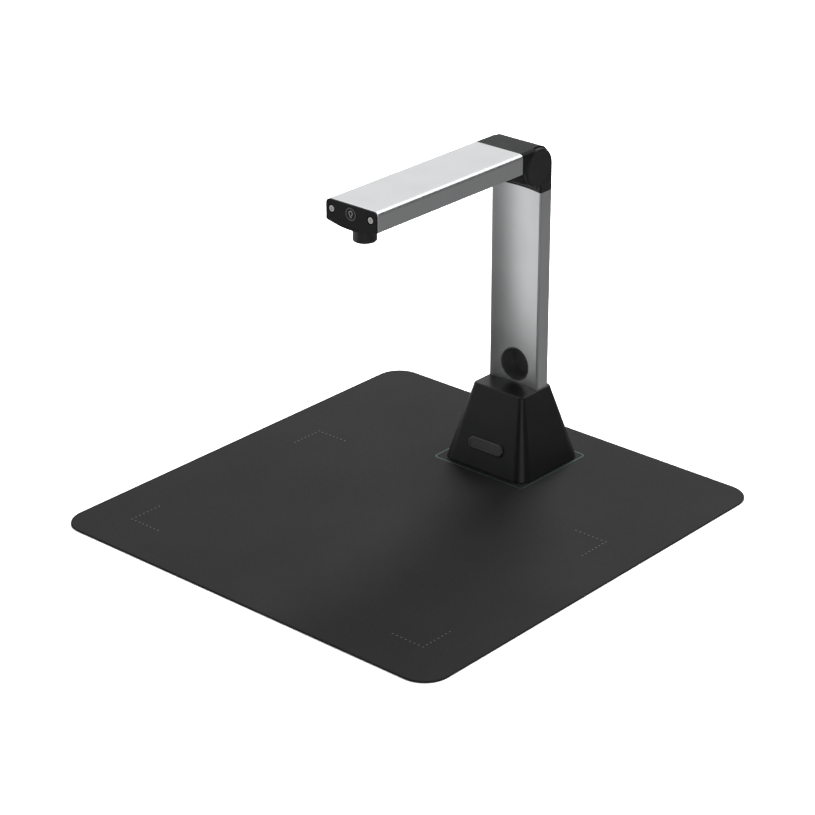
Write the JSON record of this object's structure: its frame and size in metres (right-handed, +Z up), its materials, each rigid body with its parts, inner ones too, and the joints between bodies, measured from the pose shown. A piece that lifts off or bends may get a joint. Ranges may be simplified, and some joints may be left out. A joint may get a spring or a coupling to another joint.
{
  "type": "book scanner",
  "caption": "Overhead book scanner: folding arm with a downward camera on a column and weighted base, standing on its black page mat.",
  "frame": {"origin": "centre of the mat's underside, on the table", "axes": "+Z up, -Y towards the reader, +X to the reader's right; the hinge axis runs along X"},
  "size_m": [0.53, 0.552, 0.3805],
  "materials": {
    "mat_rubber": "matt, fine leather-like grain",
    "housing_black": "fine satin texture",
    "cover_black": "fine satin texture",
    "badge_black": "smooth, semi-gloss",
    "anodised_aluminium": "satin anodised, finely blasted",
    "plate_steel": "black zinc",
    "foot_rubber": "matt",
    "inner_plastic": "moulded, as it leaves the tool",
    "screw_steel": "turned",
    "screw_nickel": "nickel, satin",
    "bush_brass": "sintered",
    "friction_ring": "ground",
    "barrel_black": "matt, anti-glare",
    "lens_glass": "coated, clear",
    "circuit_board": "solder resist, semi-gloss",
    "chip_black": "moulded",
    "socket_metal": "plated sheet",
    "led_white": "phosphor",
    "light_window": "frosted",
    "cable_black": "satin jacket"
  },
  "bodies": {
    "mat": {"scan_mat": "mat_rubber"},
    "stand": {"badge_plate": "badge_black", "ballast_plate": "plate_steel", "base_housing": "housing_black", "base_plate": "plate_steel", "base_screws": "screw_steel", "board_posts": "inner_plastic", "board_screws": "screw_steel", "column_bolts": "screw_steel", "column_cable": "cable_black", "column_cap": "housing_black", "column_cap_screws": "screw_steel", "column_foot": "inner_plastic", "column_tube": "anodised_aluminium", "control_board": "circuit_board", "control_chips": "chip_black", "dock_cup": "cover_black", "friction_washers": "friction_ring", "hinge_cover_left": "cover_black", "hinge_cover_right": "cover_black", "hinge_nut": "screw_steel", "hinge_pin": "screw_steel", "rubber_feet": "foot_rubber", "usb_socket": "socket_metal"},
    "arm": {"arm_tube": "anodised_aluminium", "arm_rear_cap": "housing_black", "arm_rear_screws": "screw_steel", "hinge_bushes": "bush_brass", "front_cap": "housing_black", "front_cap_screws": "screw_nickel", "button_switch": "chip_black", "button_board": "circuit_board", "lens_barrel": "barrel_black", "lens_retainer": "barrel_black", "lens_glass": "lens_glass", "lens_elements": "lens_glass", "image_sensor": "chip_black", "camera_board": "circuit_board", "camera_chips": "chip_black", "camera_posts": "inner_plastic", "camera_screws": "screw_steel", "led_window": "light_window", "led_board": "circuit_board", "leds": "led_white", "arm_cable": "cable_black"},
    "button": {"light_button": "cover_black"}
  },
  "joints": [
    {"name": "stand_lift", "type": "slide", "parent": "mat", "child": "stand", "axis": [0, 0, 1], "range_m": [0, 0.05]},
    {"name": "arm_fold", "type": "hinge", "parent": "stand", "child": "arm", "pos_m": [0, 0.1722, 0.3573], "axis": [1, 0, 0], "range_deg": [0, 90]},
    {"name": "button_press", "type": "slide", "parent": "arm", "child": "button", "axis": [0, 1, 0], "range_m": [0, 0.0006], "stiffness_N_per_m": 2500, "springref_m": -0.0002}
  ]
}
